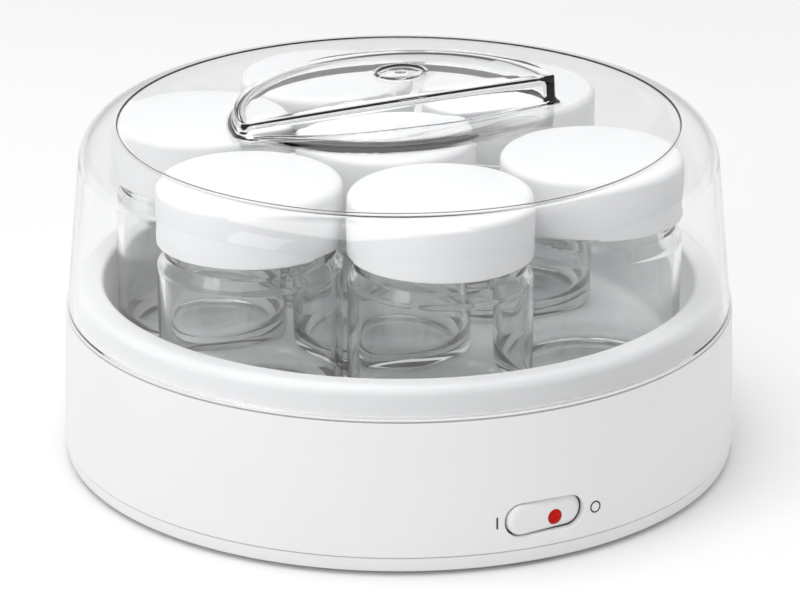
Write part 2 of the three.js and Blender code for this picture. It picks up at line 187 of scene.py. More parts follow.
def brushed(name, pale, deep, rough, stretch):
    material, tree, shader = new_material(name, Metallic=1.0)
    lines = noise(tree, 400, 2, stretch)
    tree.links.new(tint(tree, lines, deep, pale), shader.inputs["Base Color"])
    tree.links.new(spread(tree, lines, rough - 0.07, rough + 0.07), shader.inputs["Roughness"])
    bump(tree, shader, lines, 0.00001)
    return material


screw_steel = brushed("screw_steel", (0.56, 0.57, 0.58), (0.46, 0.47, 0.48), 0.32, (1, 1, 1))
aluminium = brushed("aluminium", (0.74, 0.745, 0.75), (0.66, 0.665, 0.67), 0.38, (0.05, 1, 1))
brass = brushed("brass", (0.72, 0.52, 0.22), (0.62, 0.44, 0.18), 0.33, (1, 0.1, 1))

red_lens, lens_tree, lens_shader = new_material(
    "red_lens", Base_Color=(0.55, 0.006, 0.003, 1), Roughness=0.3, IOR=1.49, Specular_IOR_Level=0.12
)
lens_depth = noise(lens_tree, 500, 2)
lens_tree.links.new(tint(lens_tree, lens_depth, (0.46, 0.003, 0.001), (0.6, 0.008, 0.003)),
                    lens_shader.inputs["Base Color"])
print(len(bpy.data.materials), "materials")

# %% [markdown]
# ## Turning an outline
# A lathe does what a turned or moulded round piece needs: an outline of radius and height is swept about
# the axis. `softened` puts a small arc at each corner that has a radius, because real edges always catch a
# thin highlight. A point on the axis becomes one vertex, so the poles are closed.

# %% Turned solids
FINE = 192


def softened(points, steps=4):
    """Points are (radius, height) or (radius, height, corner radius), in metres."""
    outline = []
    count = len(points)
    for i, point in enumerate(points):
        here = Vector(point[:2])
        corner = point[2] if len(point) > 2 else 0
        if not corner:
            outline.append(tuple(here))
            continue
        before = (Vector(points[i - 1][:2]) - here).normalized()
        after = (Vector(points[(i + 1) % count][:2]) - here).normalized()
        half = before.angle(after) / 2
        reach = corner / math.tan(half)
        centre = here + (before + after).normalized() * (corner / math.sin(half))
        start, end = here + before * reach - centre, here + after * reach - centre
        for k in range(steps + 1):
            spoke = start.slerp(end, k / steps)
            outline.append(tuple(centre + spoke.normalized() * corner))
    return outline


def turned_mesh(name, outline, facets, centre=(0, 0)):
    """Sweeps the outline about an upright axis, and closes it unless it starts and ends on the axis."""
    mesh = bpy.data.meshes.new(name)
    shape = bmesh.new()
    rings = []
    for radius, height in outline:
        if radius < 1e-7:
            rings.append([shape.verts.new((centre[0], centre[1], height))] * facets)
            continue
        ring = []
        for k in range(facets):
            turn = TAU * k / facets
            ring.append(shape.verts.new(
                (centre[0] + radius * math.cos(turn), centre[1] + radius * math.sin(turn), height)))
        rings.append(ring)
    pairs = list(zip(rings, rings[1:]))
    if rings[0][0] is not rings[0][1]:
        pairs.append((rings[-1], rings[0]))
    for lower, upper in pairs:
        for k in range(facets):
            after = (k + 1) % facets
            corners = []
            for vertex in (lower[k], lower[after], upper[after], upper[k]):
                if vertex not in corners:
                    corners.append(vertex)
            if len(corners) > 2:
                shape.faces.new(corners)
    bmesh.ops.recalc_face_normals(shape, faces=shape.faces)
    if shape.calc_volume(signed=True) < 0:
        bmesh.ops.reverse_faces(shape, faces=shape.faces)
    shape.to_mesh(mesh)
    shape.free()
    return mesh


def piece(name, mesh, material, crease=35):
    mesh.materials.clear()
    mesh.materials.append(material)
    mesh.shade_smooth()
    mesh.set_sharp_from_angle(angle=math.radians(crease))
    obj = bpy.data.objects.new(name, mesh)
    bpy.context.scene.collection.objects.link(obj)
    return obj


def baked(obj):
    """Replaces an object's mesh by its evaluated, modifier-free one."""
    graph = bpy.context.evaluated_depsgraph_get()
    mesh = bpy.data.meshes.new_from_object(obj.evaluated_get(graph))
    obj.modifiers.clear()
    obj.data = mesh
    return obj


def cut(obj, tool, operation="DIFFERENCE"):
    modifier = obj.modifiers.new("cut", "BOOLEAN")
    modifier.operation = operation
    modifier.solver = "EXACT"
    modifier.object = tool
    baked(obj)
    bpy.data.objects.remove(tool)
    return obj


def settle(obj, body, slot, *nodes):
    """Hands a finished piece to the frame: its body, and the nodes it stands for, which are hidden. The
    finish slot is not used.
    """
    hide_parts(*nodes)
    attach(obj, body)


def rod(name, radius, start, end, facets=48):
    """A plain cylinder from one point to another, used as a cutting tool or a pin."""
    start, end = Vector(start), Vector(end)
    shape = bmesh.new()
    bmesh.ops.create_cone(shape, cap_ends=True, segments=facets, radius1=radius, radius2=radius,
                          depth=(end - start).length)
    turn = (end - start).to_track_quat("Z", "Y").to_matrix().to_4x4()
    shape.transform(Matrix.Translation((start + end) / 2) @ turn)
    mesh = bpy.data.meshes.new(name)
    shape.to_mesh(mesh)
    shape.free()
    obj = bpy.data.objects.new(name, mesh)
    bpy.context.scene.collection.objects.link(obj)
    return obj


# %% [markdown]
# ## Housing
# One white moulding makes the outer wall, the ledge the cover stands on, the rounded collar inside it and
# the well for the jars. It is turned from one outline, and the switch window and the cord pocket at the
# back are cut out of the wall afterwards. A small bevel rounds the cut edges.

# %% Housing outline
HOUSING_LOW, HOUSING_HIGH = low("housing"), high("housing")
RADIUS = HOUSING_HIGH.x
LEDGE = low("cover").z - GAP
COLLAR_TOP = HOUSING_HIGH.z
COLLAR_RADIUS = 114.3 * MM
MOUTH = 104.5 * MM
WELL_RADIUS = 104.2 * MM
WELL_FLOOR = low("jar_1").z - GAP
WALL = 2.6 * MM
LEDGE_RADIUS = 118.3 * MM
GROOVE_TOP = LEDGE - 0.25 * MM
GROOVE_BOTTOM = LEDGE - 0.95 * MM
GROOVE_BACK = LEDGE_RADIUS - 1.3 * MM
GROOVE_LIP = LEDGE_RADIUS - 0.1 * MM

# The fine groove just under the ledge draws the dark line that parts the cover from the housing.
housing_outline = softened([
    (0, WELL_FLOOR),
    (WELL_RADIUS, WELL_FLOOR, 3.5 * MM),
    (MOUTH, COLLAR_TOP, 1.9 * MM),
    (COLLAR_RADIUS, COLLAR_TOP, 3.9 * MM),
    (COLLAR_RADIUS, LEDGE, 0.4 * MM),
    (GROOVE_LIP, LEDGE),
    (GROOVE_LIP, GROOVE_TOP),
    (GROOVE_BACK, GROOVE_TOP),
    (GROOVE_BACK, GROOVE_BOTTOM),
    (LEDGE_RADIUS + 0.05 * MM, GROOVE_BOTTOM, 0.3 * MM),
    (RADIUS, HOUSING_LOW.z, 0.35 * MM),
    (RADIUS - WALL, HOUSING_LOW.z),
    (LEDGE_RADIUS - WALL, LEDGE - WALL),
    (COLLAR_RADIUS - WALL, LEDGE - WALL),
    (COLLAR_RADIUS - WALL, COLLAR_TOP - WALL),
    (MOUTH + WALL, COLLAR_TOP - WALL),
    (WELL_RADIUS + WALL, WELL_FLOOR - WALL),
    (0, WELL_FLOOR - WALL),
], steps=7)


# %% Switch window
rocker_joint = next(joint for joint in frame["joints"] if joint["name"] == "rocker_tilt")
PIVOT = Vector(rocker_joint["pos_m"])
SWITCH_TURN = math.atan2(PIVOT.x, -PIVOT.y)
SWITCH_REACH = math.hypot(PIVOT.x, PIVOT.y)
WINDOW = (14.75 * MM, 5.9 * MM)
TO_SWITCH = Matrix.Rotation(SWITCH_TURN, 4, "Z") @ Matrix.Translation((0, -SWITCH_REACH, PIVOT.z))


def pill_outline(half_length, half_height, steps=14):
    straight = half_length - half_height
    outline = []
    for side in (1, -1):
        for k in range(steps + 1):
            turn = math.pi * k / steps - math.pi / 2
            outline.append((side * (straight + half_height * math.cos(turn)),
                            side * half_height * math.sin(turn)))
    return outline


def layered(name, layers):
    """Skins a stack of outlines of equal length, each a list of 3-D points."""
    mesh = bpy.data.meshes.new(name)
    shape = bmesh.new()
    rings = [[shape.verts.new(point) for point in layer] for layer in layers]
    count = len(rings[0])
    for first, second in zip(rings, rings[1:]):
        for k in range(count):
            after = (k + 1) % count
            shape.faces.new((first[k], first[after], second[after], second[k]))
    shape.faces.new(rings[0][::-1])
    shape.faces.new(rings[-1])
    bmesh.ops.recalc_face_normals(shape, faces=shape.faces)
    shape.to_mesh(mesh)
    shape.free()
    return mesh


def tool(mesh):
    obj = bpy.data.objects.new(mesh.name, mesh)
    bpy.context.scene.collection.objects.link(obj)
    return obj


def pill_layers(sizes):
    """Sizes are (half length, half height, distance behind the wall's face)."""
    return [[TO_SWITCH @ Vector((x, depth, z)) for x, z in pill_outline(length, height)]
            for length, height, depth in sizes]


# The cutter flares where it leaves the wall, which rounds the window's lip.
LIP = 1.1 * MM
FACE = -(RADIUS - 0.4 * MM - SWITCH_REACH)
window_sizes = [(WINDOW[0], WINDOW[1], 8 * MM), (WINDOW[0], WINDOW[1], FACE + LIP)]
for step in range(1, 8):
    turn = math.pi / 2 * step / 7
    flare = LIP * (1 - math.cos(turn))
    depth = FACE + LIP * (1 - math.sin(turn)) - 0.15 * MM
    window_sizes.append((WINDOW[0] + flare, WINDOW[1] + flare, depth))
window_sizes.append((WINDOW[0] + LIP, WINDOW[1] + LIP, FACE - 6 * MM))

# %% Housing
housing = piece("housing_shell", turned_mesh("housing_shell", housing_outline, FINE), white_plastic)
cut(housing, tool(layered("window_tool", pill_layers(window_sizes))))

GLAND_LOW, GLAND_HIGH = low("cord_gland"), high("cord_gland")
GLAND_Z = (GLAND_LOW.z + GLAND_HIGH.z) / 2
POCKET_FACE = RADIUS - 3.6 * MM
GLAND_FLANGE = 7 * MM
GLAND_BODY = 5.2 * MM
GLAND_BORE = 3.7 * MM


def box_mesh(name, corner, opposite, edge=0.0):
    shape = bmesh.new()
    bmesh.ops.create_cube(shape, size=1)
    size = Vector(opposite) - Vector(corner)
    middle = (Vector(opposite) + Vector(corner)) / 2
    shape.transform(Matrix.Translation(middle) @ Matrix.Diagonal((*size, 1)))
    if edge:
        bmesh.ops.bevel(shape, geom=shape.edges[:], offset=edge, segments=3, affect="EDGES", profile=0.5)
    mesh = bpy.data.meshes.new(name)
    shape.to_mesh(mesh)
    shape.free()
    return mesh


pocket_half = GLAND_FLANGE + 3 * MM
patch_half = pocket_half + 2 * MM
patch = box_mesh("cord_patch", (-patch_half, POCKET_FACE - 3 * MM, HOUSING_LOW.z + 0.2 * MM),
                 (patch_half, RADIUS - 2 * MM, GLAND_Z + pocket_half))
pocket = box_mesh("cord_pocket", (-pocket_half, POCKET_FACE, HOUSING_LOW.z - 4 * MM),
                  (pocket_half, RADIUS + 4 * MM, GLAND_Z + pocket_half - 2 * MM), 1.2 * MM)
cut(housing, tool(patch), "UNION")
cut(housing, tool(pocket))
cut(housing, rod("gland_hole", GLAND_BODY + GAP,
                 (0, POCKET_FACE - 8 * MM, GLAND_Z), (0, RADIUS, GLAND_Z)))

housing.data.shade_smooth()
housing.data.set_sharp_from_angle(angle=math.radians(32))
settle(housing, "base", "white_plastic", "housing")
print("housing", len(housing.data.polygons), "faces")

# %% [markdown]
# ## Base plate, feet and screws
# A shallow white dish closes the underside. Its rim shows as the low band under the housing's seam. The
# screws sit deep in counterbores and four rubber feet stand in shallow seats. Feet, screws and the plate's
# stiffening ribs each repeat round a ring, so one Geometry Nodes tree places them all.

# %% A tree that repeats a shape round a ring


def ring_tree():
    tree = bpy.data.node_groups.new("repeat_round_ring", "GeometryNodeTree")
    tree.is_modifier = True
    face = tree.interface
    face.new_socket("Geometry", in_out="OUTPUT", socket_type="NodeSocketGeometry")
    face.new_socket("Shape", in_out="INPUT", socket_type="NodeSocketObject")
    face.new_socket("Count", in_out="INPUT", socket_type="NodeSocketInt")
    face.new_socket("Ring Radius", in_out="INPUT", socket_type="NodeSocketFloat")
    face.new_socket("Start Angle", in_out="INPUT", socket_type="NodeSocketFloat")
    face.new_socket("Material", in_out="INPUT", socket_type="NodeSocketMaterial")
    nodes, links = tree.nodes, tree.links
    start = nodes.new("NodeGroupInput")
    end = nodes.new("NodeGroupOutput")
    circle = nodes.new("GeometryNodeMeshCircle")
    source = nodes.new("GeometryNodeObjectInfo")
    place = nodes.new("GeometryNodeInstanceOnPoints")
    index = nodes.new("GeometryNodeInputIndex")
    step = nodes.new("ShaderNodeMath")
    step.operation = "DIVIDE"
    step.inputs[0].default_value = TAU
    turn = nodes.new("ShaderNodeMath")
    turn.operation = "MULTIPLY"
    spin = nodes.new("ShaderNodeCombineXYZ")
    swing = nodes.new("GeometryNodeTransform")
    swing_angle = nodes.new("ShaderNodeCombineXYZ")
    real = nodes.new("GeometryNodeRealizeInstances")
    finish = nodes.new("GeometryNodeSetMaterial")
    links.new(start.outputs["Count"], circle.inputs["Vertices"])
    links.new(start.outputs["Ring Radius"], circle.inputs["Radius"])
    links.new(start.outputs["Shape"], source.inputs["Object"])
    links.new(start.outputs["Count"], step.inputs[1])
    links.new(step.outputs[0], turn.inputs[0])
    links.new(index.outputs["Index"], turn.inputs[1])
    links.new(turn.outputs[0], spin.inputs["Z"])
    links.new(circle.outputs["Mesh"], place.inputs["Points"])
    links.new(source.outputs["Geometry"], place.inputs["Instance"])
    links.new(spin.outputs["Vector"], place.inputs["Rotation"])
    links.new(place.outputs["Instances"], swing.inputs["Geometry"])
    links.new(start.outputs["Start Angle"], swing_angle.inputs["Z"])
    links.new(swing_angle.outputs["Vector"], swing.inputs["Rotation"])
    links.new(swing.outputs["Geometry"], real.inputs["Geometry"])
    links.new(real.outputs["Geometry"], finish.inputs["Geometry"])
    links.new(start.outputs["Material"], finish.inputs["Material"])
    links.new(finish.outputs["Geometry"], end.inputs["Geometry"])
    return tree


RING_TREE = ring_tree()


def repeated(name, source_mesh, count, ring, start_angle, material, crease=35):
    source = tool(source_mesh)
    obj = tool(bpy.data.meshes.new(name))
    obj.name = name
    modifier = obj.modifiers.new("ring", "NODES")
    modifier.node_group = RING_TREE
    values = {"Shape": source, "Count": count, "Ring Radius": ring, "Start Angle": start_angle,
              "Material": material}
    for item in RING_TREE.interface.items_tree:
        if item.in_out == "INPUT":
            modifier[item.identifier] = values[item.name]
    baked(obj)
    bpy.data.objects.remove(source)
    obj.data.name = name
    obj.data.shade_smooth()
    obj.data.set_sharp_from_angle(angle=math.radians(crease))
    return obj


def ring_of(node):
    middle = (low(node) + high(node)) / 2
    return math.hypot(middle.x, middle.y), math.atan2(middle.y, middle.x)


# %% Base plate
PLATE_LOW, PLATE_HIGH = low("base_plate"), high("base_plate")
UNDER = PLATE_LOW.z
SEAM = HOUSING_LOW.z - GAP
FLOOR_SHEET = 2.2 * MM
plate_outline = softened([
    (0, UNDER),
    (118.9 * MM, UNDER, 1.0 * MM),
    (PLATE_HIGH.x, SEAM, 0.35 * MM),
    (PLATE_HIGH.x - 2.4 * MM, SEAM),
    (PLATE_HIGH.x - 3 * MM, UNDER + FLOOR_SHEET),
    (0, UNDER + FLOOR_SHEET),
], steps=5)
base_plate = piece("base_plate_shell", turned_mesh("base_plate_shell", plate_outline, FINE), white_plastic)

screw_ring, screw_start = ring_of("base_screw_1")
foot_ring, foot_start = ring_of("foot_1")
screw_high = high("base_screw_1").z
SCREW_HEAD = 3.3 * MM
SEAT = UNDER + 5.5 * MM
BOSS_RADIUS = 6 * MM
BORE_RADIUS = SCREW_HEAD + 0.7 * MM
PILOT_RADIUS = 1.9 * MM
boss_outline = [(0, UNDER + 1 * MM), (BOSS_RADIUS, UNDER + 1 * MM),
                (BOSS_RADIUS, PLATE_HIGH.z), (0, PLATE_HIGH.z)]
bosses = repeated("boss_tool", turned_mesh("boss", boss_outline, 48), 4, screw_ring, screw_start,
                  white_plastic)
cut(base_plate, bosses, "UNION")
bore_outline = softened([
    (0, UNDER - 2 * MM),
    (SCREW_HEAD + 2.2 * MM, UNDER - 2 * MM),
    (BORE_RADIUS, UNDER + 0.6 * MM, 0.5 * MM),
    (BORE_RADIUS, SEAT),
    (PILOT_RADIUS, SEAT),
    (PILOT_RADIUS, PLATE_HIGH.z + 1 * MM),
    (0, PLATE_HIGH.z + 1 * MM),
])
cut(base_plate, repeated("bore_tool", turned_mesh("bore", bore_outline, 48), 4, screw_ring, screw_start,
                         white_plastic))
foot_radius = (high("foot_1").x - low("foot_1").x) / 2
seat_radius = foot_radius + GAP
seat_outline = [(0, UNDER - 1 * MM), (seat_radius, UNDER - 1 * MM),
                (seat_radius, UNDER + 0.8 * MM), (0, UNDER + 0.8 * MM)]
cut(base_plate, repeated("seat_tool", turned_mesh("seat", seat_outline, 64), 4, foot_ring, foot_start,
                         white_plastic))
settle(base_plate, "base", "white_plastic", "base_plate")

# %% Ribs under the plate
# Low stiffening ribs, moulded with the plate, run out from a ring in its middle.
RIB_FOOT = UNDER - 0.9 * MM
RIB_ROOT = UNDER + 0.2 * MM
RIBS = 16
RIB_HALF = (26 * MM, 0.7 * MM)
HOOP = (23 * MM, 24.4 * MM)
rib = box_mesh("rib", (-RIB_HALF[0], -RIB_HALF[1], RIB_FOOT), (*RIB_HALF, RIB_ROOT), 0.35 * MM)
ribs = repeated("base_plate_ribs", rib, RIBS, 2 * RIB_HALF[0], TAU / (2 * RIBS), white_plastic)
hoop_outline = softened([(HOOP[0], RIB_ROOT), (HOOP[0], RIB_FOOT, 0.3 * MM),
                         (HOOP[1], RIB_FOOT, 0.3 * MM), (HOOP[1], RIB_ROOT)])
hoop = piece("base_plate_hoop", turned_mesh("base_plate_hoop", hoop_outline, 96), white_plastic)
for extra in (ribs, hoop):
    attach(extra, "base")

# %% Rubber feet
foot_outline = softened([
    (0, 0.25 * MM),
    (foot_radius - 2.4 * MM, 0.25 * MM, 0.2 * MM),
    (foot_radius - 2.2 * MM, 0, 0.2 * MM),
    (foot_radius, 0, 0.6 * MM),
    (foot_radius, high("foot_1").z, 0.2 * MM),
    (0, high("foot_1").z),
])
feet = repeated("rubber_feet", turned_mesh("foot", foot_outline, 64), 4, foot_ring, foot_start, foot_rubber)
settle(feet, "base", "foot_rubber", "foot_1", "foot_2", "foot_3", "foot_4")

# %% Screws
head_low = low("base_screw_1").z
head_high = SEAT - GAP
SHAFT = 1.4 * MM
CROSS = (1.8 * MM, 0.4 * MM, 1.3 * MM)
screw_outline = softened([
    (0, head_low),
    (1.8 * MM, head_low, 0.6 * MM),
    (SCREW_HEAD, head_low + 1.2 * MM, 0.4 * MM),
    (SCREW_HEAD, head_high, 0.15 * MM),
    (SHAFT, head_high),
    (SHAFT, screw_high - 2.4 * MM),
    (0, screw_high),
])
screw = tool(turned_mesh("screw", screw_outline, 48))
for turn in (0, math.pi / 2):
    slot_tool = box_mesh("cross", (-CROSS[0], -CROSS[1], head_low - 1 * MM),
                         (CROSS[0], CROSS[1], head_low + CROSS[2]))
    slot_tool.transform(Matrix.Rotation(turn, 4, "Z"))
    cut(screw, tool(slot_tool))
screws = repeated("base_screws", screw.data.copy(), 4, screw_ring, screw_start, screw_steel)
bpy.data.objects.remove(screw)
settle(screws, "base", "screw_steel", *[f"base_screw_{k}" for k in range(1, 5)])
print("feet", len(feet.data.polygons), "screws", len(screws.data.polygons), "faces")

# %% [markdown]
# ## Cord gland
# A black rubber-like bushing lines the cord's hole at the back. The cord itself is not part of this set.

# %% Cord gland
gland_front = GLAND_HIGH.y - POCKET_FACE
gland_outline = softened([
    (GLAND_BORE, -6 * MM, 0.3 * MM),
    (GLAND_BODY, -6 * MM, 0.3 * MM),
    (GLAND_BODY, 0.3 * MM),
    (GLAND_FLANGE, 0.3 * MM, 0.2 * MM),
    (GLAND_FLANGE - 0.4 * MM, 2.2 * MM, 0.5 * MM),
    (5.4 * MM, 2.4 * MM, 0.3 * MM),
    (4.4 * MM, gland_front, 0.3 * MM),
    (GLAND_BORE, gland_front, 0.3 * MM),
])
gland_mesh = turned_mesh("gland", gland_outline, 72)
gland_mesh.transform(Matrix.Translation((0, POCKET_FACE, GLAND_Z)) @ Matrix.Rotation(-math.pi / 2, 4, "X"))
gland = piece("cord_gland_bushing", gland_mesh, black_plastic)
settle(gland, "base", "black_plastic", "cord_gland")

# %% [markdown]
# ## Rocker switch
# The rocker is a pill with soft edges that tips about an upright pin, a little inside its window. At rest
# its right end is pressed in, which is off. A small red lens shines through it near that end. The marks
# beside the window are ink: thin strips that follow the curve of the wall.

# %% Rocker and lens
TILT = math.radians(7)
TO_ROCKER = TO_SWITCH @ Matrix.Rotation(TILT, 4, "Z")
ROCKER = (14.15 * MM, 5.55 * MM)
ROCKER_FRONT = -4.0 * MM
LENS_ACROSS = 3.6 * MM
LENS_DROP = 1.3 * MM
LENS_RADIUS = 2.6 * MM


def pill_stack(name, steps, place):
    """Steps are (drawn-in distance, depth) from back to front."""
    layers = [[place @ Vector((x, depth, z))
               for x, z in pill_outline(ROCKER[0] - drawn, ROCKER[1] - drawn, 20)]
              for drawn, depth in steps]
    return layered(name, layers)


EDGE_WIDE, EDGE_DEEP = 2.6 * MM, 1.7 * MM
rocker_steps = [(0.8 * MM, 3 * MM), (0, 2.2 * MM), (0, ROCKER_FRONT + EDGE_DEEP)]
for k in range(1, 11):
    turn = math.pi / 2 * k / 10
    rocker_steps.append((EDGE_WIDE * (1 - math.cos(turn)), ROCKER_FRONT + EDGE_DEEP * (1 - math.sin(turn))))
rocker = piece("rocker_cap", pill_stack("rocker_cap", rocker_steps, TO_ROCKER), white_plastic)
lens_seat = rod("lens_seat", LENS_RADIUS + 0.15 * MM,
                TO_ROCKER @ Vector((LENS_ACROSS, ROCKER_FRONT - 1 * MM, -LENS_DROP)),
                TO_ROCKER @ Vector((LENS_ACROSS, ROCKER_FRONT + 2.7 * MM, -LENS_DROP)), 64)
cut(rocker, lens_seat)
pin = rod("rocker_pin", 1.2 * MM, PIVOT - Vector((0, 0, 7.2 * MM)), PIVOT + Vector((0, 0, 7.2 * MM)))
cut(rocker, pin, "UNION")
rocker.data.shade_smooth()
rocker.data.set_sharp_from_angle(angle=math.radians(40))
settle(rocker, "rocker", "white_plastic", "switch_rocker")

lens_outline = softened([
    (0, -2.4 * MM),
    (LENS_RADIUS, -2.4 * MM, 0.1 * MM),
    (LENS_RADIUS, 0.05 * MM, 0.25 * MM),
    (LENS_RADIUS - 0.7 * MM, 0.38 * MM, 0.4 * MM),
    (0.8 * MM, 0.3 * MM, 0.3 * MM),
    (0, 0.12 * MM),
])
lens_mesh = turned_mesh("lens", lens_outline, 64)
lens_place = (TO_ROCKER @ Matrix.Translation((LENS_ACROSS, ROCKER_FRONT, -LENS_DROP))
              @ Matrix.Rotation(math.pi / 2, 4, "X"))
lens_mesh.transform(lens_place)
lens = piece("indicator_lens_red", lens_mesh, red_lens)
settle(lens, "rocker", "red_lens", "indicator_lens")

# %% Ink marks
INK = 0.05 * MM


def wall_radius(height):
    share = (height - HOUSING_LOW.z) / (LEDGE - HOUSING_LOW.z)
    return RADIUS + (LEDGE_RADIUS - RADIUS) * share


def on_wall(across, up, proud):
    """A point on the wall, measured along it from the middle of the switch."""
    reach = wall_radius(PIVOT.z + up) + proud
    turn = SWITCH_TURN + across / RADIUS
    return Vector((reach * math.sin(turn), -reach * math.cos(turn), PIVOT.z + up))


def ink_mark(name, rows):
    """Rows are matching lists of (across, up) points; the strips between them are inked."""
    shape = bmesh.new()
    skins = [[[shape.verts.new(on_wall(a, u, proud)) for a, u in row] for row in rows]
             for proud in (INK, -INK)]
    count = len(rows[0])
    for k in range(count):
        after = (k + 1) % count
        ring = [(skins[0][0], skins[0][1]), (skins[0][1], skins[1][1]),
                (skins[1][1], skins[1][0]), (skins[1][0], skins[0][0])]
        for first, second in ring:
            shape.faces.new((first[k], first[after], second[after], second[k]))
    bmesh.ops.recalc_face_normals(shape, faces=shape.faces)
    mesh = bpy.data.meshes.new(name)
    shape.to_mesh(mesh)
    shape.free()
    obj = piece(name, mesh, mark_ink)
    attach(obj, "base")
    return obj


def circle_at(across, up, radius, steps=48):
    return [(across + radius * math.cos(TAU * k / steps), up + radius * math.sin(TAU * k / steps))
            for k in range(steps)]


ON_ACROSS, OFF_ACROSS, OFF_DROP = -17.4 * MM, 19.6 * MM, 0.6 * MM
ink_mark("mark_off", [circle_at(OFF_ACROSS, -OFF_DROP, radius * MM) for radius in (2.15, 1.6)])
bar_outer = [(ON_ACROSS + x, z) for x, z in pill_outline(2.15 * MM, 0.33 * MM, 6)]
bar_outer = [(ON_ACROSS + z, x - ON_ACROSS) for x, z in bar_outer]
bar_inner = [(ON_ACROSS + (a - ON_ACROSS) * 0.02, u * 0.02) for a, u in bar_outer]
ink_mark("mark_on", [bar_outer, bar_inner])

# %% [markdown]
# ## Jars and lids
# Seven alike pressed-glass jars with white screw lids. Pressed glass is thick at the base and its corners
# are soft, inside and out, which is what makes the bright and grey bands down its sides. Each jar is a
# separate piece because each one lifts out alone.

# %% Jar and lid outlines
jar_low, jar_high = low("jar_1"), high("jar_1")
lid_low, lid_high = low("lid_1"), high("lid_1")
JAR_RADIUS = (jar_high.x - jar_low.x) / 2
LID_RADIUS = (lid_high.x - lid_low.x) / 2
NECK = 29.2 * MM
GLASS_WALL = 2.3 * MM
SHOULDER = lid_low.z - 4.5 * MM
base_z = jar_low.z

jar_outline = softened([
    (0, base_z + 0.3 * MM),
    (JAR_RADIUS - 8 * MM, base_z, 30 * MM),
    (JAR_RADIUS, base_z, 4.2 * MM),
    (JAR_RADIUS, SHOULDER - 3.6 * MM, 3.0 * MM),
    (NECK + 0.2 * MM, SHOULDER, 2.0 * MM),
    (NECK - 0.4 * MM, SHOULDER + 3.4 * MM, 1.2 * MM),
    (NECK, SHOULDER + 5 * MM, 0.8 * MM),
    (NECK, jar_high.z, 1.0 * MM),
    (NECK - GLASS_WALL, jar_high.z, 1.0 * MM),
    (NECK - GLASS_WALL, SHOULDER - 1.0 * MM, 3.0 * MM),
    (JAR_RADIUS - GLASS_WALL, SHOULDER - 5.2 * MM, 3.0 * MM),
    (JAR_RADIUS - GLASS_WALL, base_z + 4.6 * MM, 9 * MM),
    (0, base_z + 4.6 * MM),
], steps=6)
LID_WALL = 1.5 * MM
LID_TOP_SHEET = 1.8 * MM
lid_outline = softened([
    (0, lid_high.z),
    (LID_RADIUS, lid_high.z, 2.9 * MM),
    (LID_RADIUS, lid_low.z, 0.35 * MM),
    (LID_RADIUS - LID_WALL, lid_low.z, 0.35 * MM),
    (LID_RADIUS - LID_WALL, lid_high.z - LID_TOP_SHEET, 1.2 * MM),
    (0, lid_high.z - LID_TOP_SHEET),
], steps=8)

# %% Seven jars
for k in range(1, 8):
    middle = (low(f"jar_{k}") + high(f"jar_{k}")) / 2
    spot = (middle.x, middle.y)
    jar = piece(f"glass_jar_{k}", turned_mesh(f"glass_jar_{k}", jar_outline, 96, spot), jar_glass)
    settle(jar, f"jar_{k}", "jar_glass", f"jar_{k}")
    lid = piece(f"screw_lid_{k}", turned_mesh(f"screw_lid_{k}", lid_outline, 96, spot), lid_plastic)
    settle(lid, f"lid_{k}", "lid_plastic", f"lid_{k}")
print("jar", len(jar.data.polygons), "faces, lid", len(lid.data.polygons), "faces")

# %% [markdown]
# ## Clear cover
# The cover is one moulding of even thickness: tapering side, round shoulder, shallow dome. The grip is a
# half-round plateau raised from the dome, and in front of its straight edge a shallow pocket lets the
# fingers reach that edge. A surface given by one height for each plan point suits this top: contour lines
# of the grip's outline are laid down first, close together where the wall is steep, then the pocket's rim
# and plain rings, and triangles fill the rest. The inside skin is drawn in by the wall's thickness.

# %% Cover sizes
SHELL = 2.2 * MM
COVER_LOW = low("cover").z
RIM_RADIUS = 117.6 * MM
SIDE_RADIUS = 112.5 * MM
SIDE_TOP = UNDER + 107.1 * MM
ROUND = 13.8 * MM
EDGE_SLOPE = 0.03
LEAN = math.atan((RIM_RADIUS - SIDE_RADIUS) / (SIDE_TOP - COVER_LOW))
ROUND_R = SIDE_RADIUS - ROUND * math.cos(LEAN)
ROUND_Z = SIDE_TOP - ROUND * math.sin(LEAN)
ROUND_END = math.pi / 2 - EDGE_SLOPE
SPHERE = (ROUND_R + ROUND * math.cos(ROUND_END)) / math.sin(EDGE_SLOPE)
SPHERE_Z = ROUND_Z + ROUND * math.sin(ROUND_END) - SPHERE * math.cos(EDGE_SLOPE)
GRIP_RADIUS = 58.6 * MM
GRIP_TURN = 0.348
GRIP_SLOPE = 0.045
FORWARD = 2 * MM
RISE = 6.9 * MM
POCKET_REACH = 35 * MM
POCKET_FLOOR = UNDER + 117.4 * MM
POCKET_SLOPE = 34 * MM
GATE = (10 * MM, 26 * MM)
GATE_RING = 8.4 * MM
GATE_NUB = 2.0 * MM
STEP = 0.3 * MM
DRAFT = 0.3 * MM
TOP_RADIUS = 92 * MM
POCKET_RADIUS = (GRIP_RADIUS ** 2 + POCKET_REACH ** 2) / (2 * POCKET_REACH)
POCKET_MIDDLE = POCKET_RADIUS - POCKET_REACH - FORWARD


